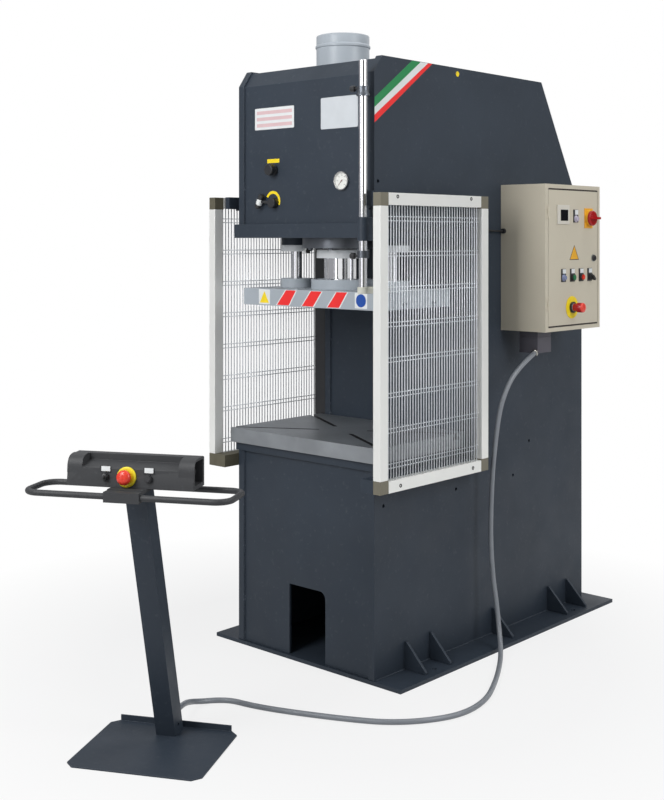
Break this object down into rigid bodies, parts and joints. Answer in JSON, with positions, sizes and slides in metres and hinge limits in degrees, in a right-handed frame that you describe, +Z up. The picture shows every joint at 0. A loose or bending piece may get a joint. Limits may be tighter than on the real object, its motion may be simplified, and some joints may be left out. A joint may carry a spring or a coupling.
{
  "type": "hydraulic press",
  "caption": "Floor-standing hydraulic C-frame press with guided ram, slotted bed, mesh side guards, hinged control cabinet and a two-hand control pedestal on a floor cable.",
  "frame": {"origin": "centre of the four anchor holes on the underside of the base plate, at floor height", "axes": "+Z up, -Y towards the operator at the open throat, +X to the press's right as its operator sees it, where the cabinet hangs"},
  "size_m": [1.3156, 2.8815, 2.535],
  "materials": {
    "anthracite_paint": "satin",
    "light_grey_paint": "satin",
    "bed_steel": "ground",
    "chrome": "polished",
    "dark_steel": "satin",
    "guard_aluminium": "anodised",
    "corner_grey": "anodised",
    "guard_wire": "galvanised",
    "black_plastic": "matte",
    "cabinet_paint": "satin",
    "red_plastic": "gloss",
    "green_plastic": "gloss",
    "yellow_plastic": "satin",
    "gauge_steel": "polished",
    "needle_orange": "matte",
    "conduit_grey": "matte",
    "tank_grey": "satin"
  },
  "bodies": {
    "root": {"base_plate": "anthracite_paint", "base_gussets": "anthracite_paint", "side_plate_left": "anthracite_paint", "side_plate_right": "anthracite_paint", "head_cover": "anthracite_paint", "head_platen": "anthracite_paint", "column_front_panel": "anthracite_paint", "rear_panel": "anthracite_paint", "lower_front_panel": "anthracite_paint", "bed_support_plate": "anthracite_paint", "bed_plate": "bed_steel", "cylinder_barrel": "light_grey_paint", "cylinder_gland": "dark_steel", "guide_housings": "light_grey_paint", "oil_tank": "tank_grey", "pump_motor": "tank_grey", "stop_rod_guide": "anthracite_paint", "limit_switch": "anthracite_paint", "pressure_gauge": "gauge_steel", "guard_bars": "guard_aluminium", "guard_corners": "corner_grey", "guard_mesh_left": "guard_wire", "guard_mesh_right": "guard_wire", "guard_arms": "anthracite_paint", "guard_closing_strips": "black_plastic", "cabinet_body": "cabinet_paint", "cable_fittings": "black_plastic", "conduit": "conduit_grey", "sensor_cable": "black_plastic", "pedestal_base": "anthracite_paint", "pedestal_column": "anthracite_paint", "hand_rail": "anthracite_paint", "console_housing": "anthracite_paint", "console_bezels": "yellow_plastic"},
    "ram": {"ram_plate": "light_grey_paint", "ram_bosses": "light_grey_paint", "piston_rod": "chrome", "guide_columns": "chrome", "stop_rod": "chrome", "stop_rod_arm": "light_grey_paint"},
    "upper_collar": {"upper_stop_collar": "dark_steel"},
    "upper_knob": {"upper_collar_knob": "black_plastic"},
    "lower_collar": {"lower_stop_collar": "dark_steel"},
    "lower_knob": {"lower_collar_knob": "black_plastic"},
    "needle": {"gauge_needle": "needle_orange"},
    "pressure_control": {"pressure_knob": "black_plastic"},
    "valve_control": {"valve_lever": "black_plastic"},
    "door": {"cabinet_door": "cabinet_paint", "door_bezels": "black_plastic"},
    "main_switch_handle": {"main_switch_knob": "red_plastic"},
    "start_push": {"start_button": "green_plastic"},
    "stop_push": {"stop_button": "red_plastic"},
    "mode_handle": {"mode_selector": "black_plastic"},
    "cabinet_stop": {"cabinet_estop": "red_plastic"},
    "lock_plug": {"door_lock": "black_plastic"},
    "console_stop": {"console_estop": "red_plastic"},
    "console_switch": {"console_selector": "black_plastic"},
    "console_push": {"console_button": "black_plastic"},
    "palm_left": {"palm_button_left": "black_plastic"},
    "palm_right": {"palm_button_right": "black_plastic"}
  },
  "joints": [
    {"name": "ram_slide", "type": "slide", "parent": "root", "child": "ram", "axis": [0, 0, 1], "range_m": [-0.455, 0.035]},
    {"name": "upper_collar_slide", "type": "slide", "parent": "ram", "child": "upper_collar", "axis": [0, 0, 1], "range_m": [0, 0.08]},
    {"name": "upper_clamp", "type": "hinge", "parent": "upper_collar", "child": "upper_knob", "pos_m": [0.33, -0.83, 2.267], "axis": [-1, 0, 0], "range_deg": [0, 360]},
    {"name": "lower_collar_slide", "type": "slide", "parent": "ram", "child": "lower_collar", "axis": [0, 0, 1], "range_m": [-0.09, 0]},
    {"name": "lower_clamp", "type": "hinge", "parent": "lower_collar", "child": "lower_knob", "pos_m": [0.33, -0.83, 1.632], "axis": [-1, 0, 0], "range_deg": [0, 360]},
    {"name": "gauge_pointer", "type": "hinge", "parent": "root", "child": "needle", "pos_m": [0.204, -0.778, 1.923], "axis": [0, 1, 0], "range_deg": [0, 270], "stiffness_Nm_per_rad": 0.002, "springref_deg": -5.73},
    {"name": "pressure_setting", "type": "hinge", "parent": "root", "child": "pressure_control", "pos_m": [-0.17, -0.8, 1.9785], "axis": [0, -1, 0], "range_deg": [0, 270]},
    {"name": "valve_setting", "type": "hinge", "parent": "root", "child": "valve_control", "pos_m": [-0.165, -0.79, 1.8435], "axis": [0, -1, 0], "range_deg": [-30, 30]},
    {"name": "cabinet_hinge", "type": "hinge", "parent": "root", "child": "door", "pos_m": [0.5995, 0.084, 1.616], "axis": [0, 0, -1], "range_deg": [0, 110]},
    {"name": "main_switch", "type": "hinge", "parent": "door", "child": "main_switch_handle", "pos_m": [0.61, 0.411, 1.7865], "axis": [1, 0, 0], "range_deg": [0, 90]},
    {"name": "start_push_slide", "type": "slide", "parent": "door", "child": "start_push", "axis": [-1, 0, 0], "range_m": [0, 0.004], "stiffness_N_per_m": 300},
    {"name": "stop_push_slide", "type": "slide", "parent": "door", "child": "stop_push", "axis": [-1, 0, 0], "range_m": [0, 0.004], "stiffness_N_per_m": 300},
    {"name": "mode_turn", "type": "hinge", "parent": "door", "child": "mode_handle", "pos_m": [0.61, 0.421, 1.53], "axis": [1, 0, 0], "range_deg": [-45, 45]},
    {"name": "cabinet_stop_slide", "type": "slide", "parent": "door", "child": "cabinet_stop", "axis": [-1, 0, 0], "range_m": [0, 0.004]},
    {"name": "lock_turn", "type": "hinge", "parent": "door", "child": "lock_plug", "pos_m": [0.6, 0.452, 1.612], "axis": [1, 0, 0], "range_deg": [0, 90]},
    {"name": "console_stop_slide", "type": "slide", "parent": "root", "child": "console_stop", "axis": [-0.4671, 0.8784, -0.1012], "range_m": [0, 0.004]},
    {"name": "console_switch_turn", "type": "hinge", "parent": "root", "child": "console_switch", "pos_m": [0.23081, -1.93456, 0.9415], "axis": [0.4671, -0.8784, 0.1012], "range_deg": [-45, 45]},
    {"name": "console_push_slide", "type": "slide", "parent": "root", "child": "console_push", "axis": [-0.4671, 0.8784, -0.1012], "range_m": [0, 0.004], "stiffness_N_per_m": 300},
    {"name": "palm_left_slide", "type": "slide", "parent": "root", "child": "palm_left", "axis": [0.8829, 0.4695, 0], "range_m": [0, 0.004], "stiffness_N_per_m": 300},
    {"name": "palm_right_slide", "type": "slide", "parent": "root", "child": "palm_right", "axis": [-0.8829, -0.4695, 0], "range_m": [0, 0.004], "stiffness_N_per_m": 300}
  ]
}
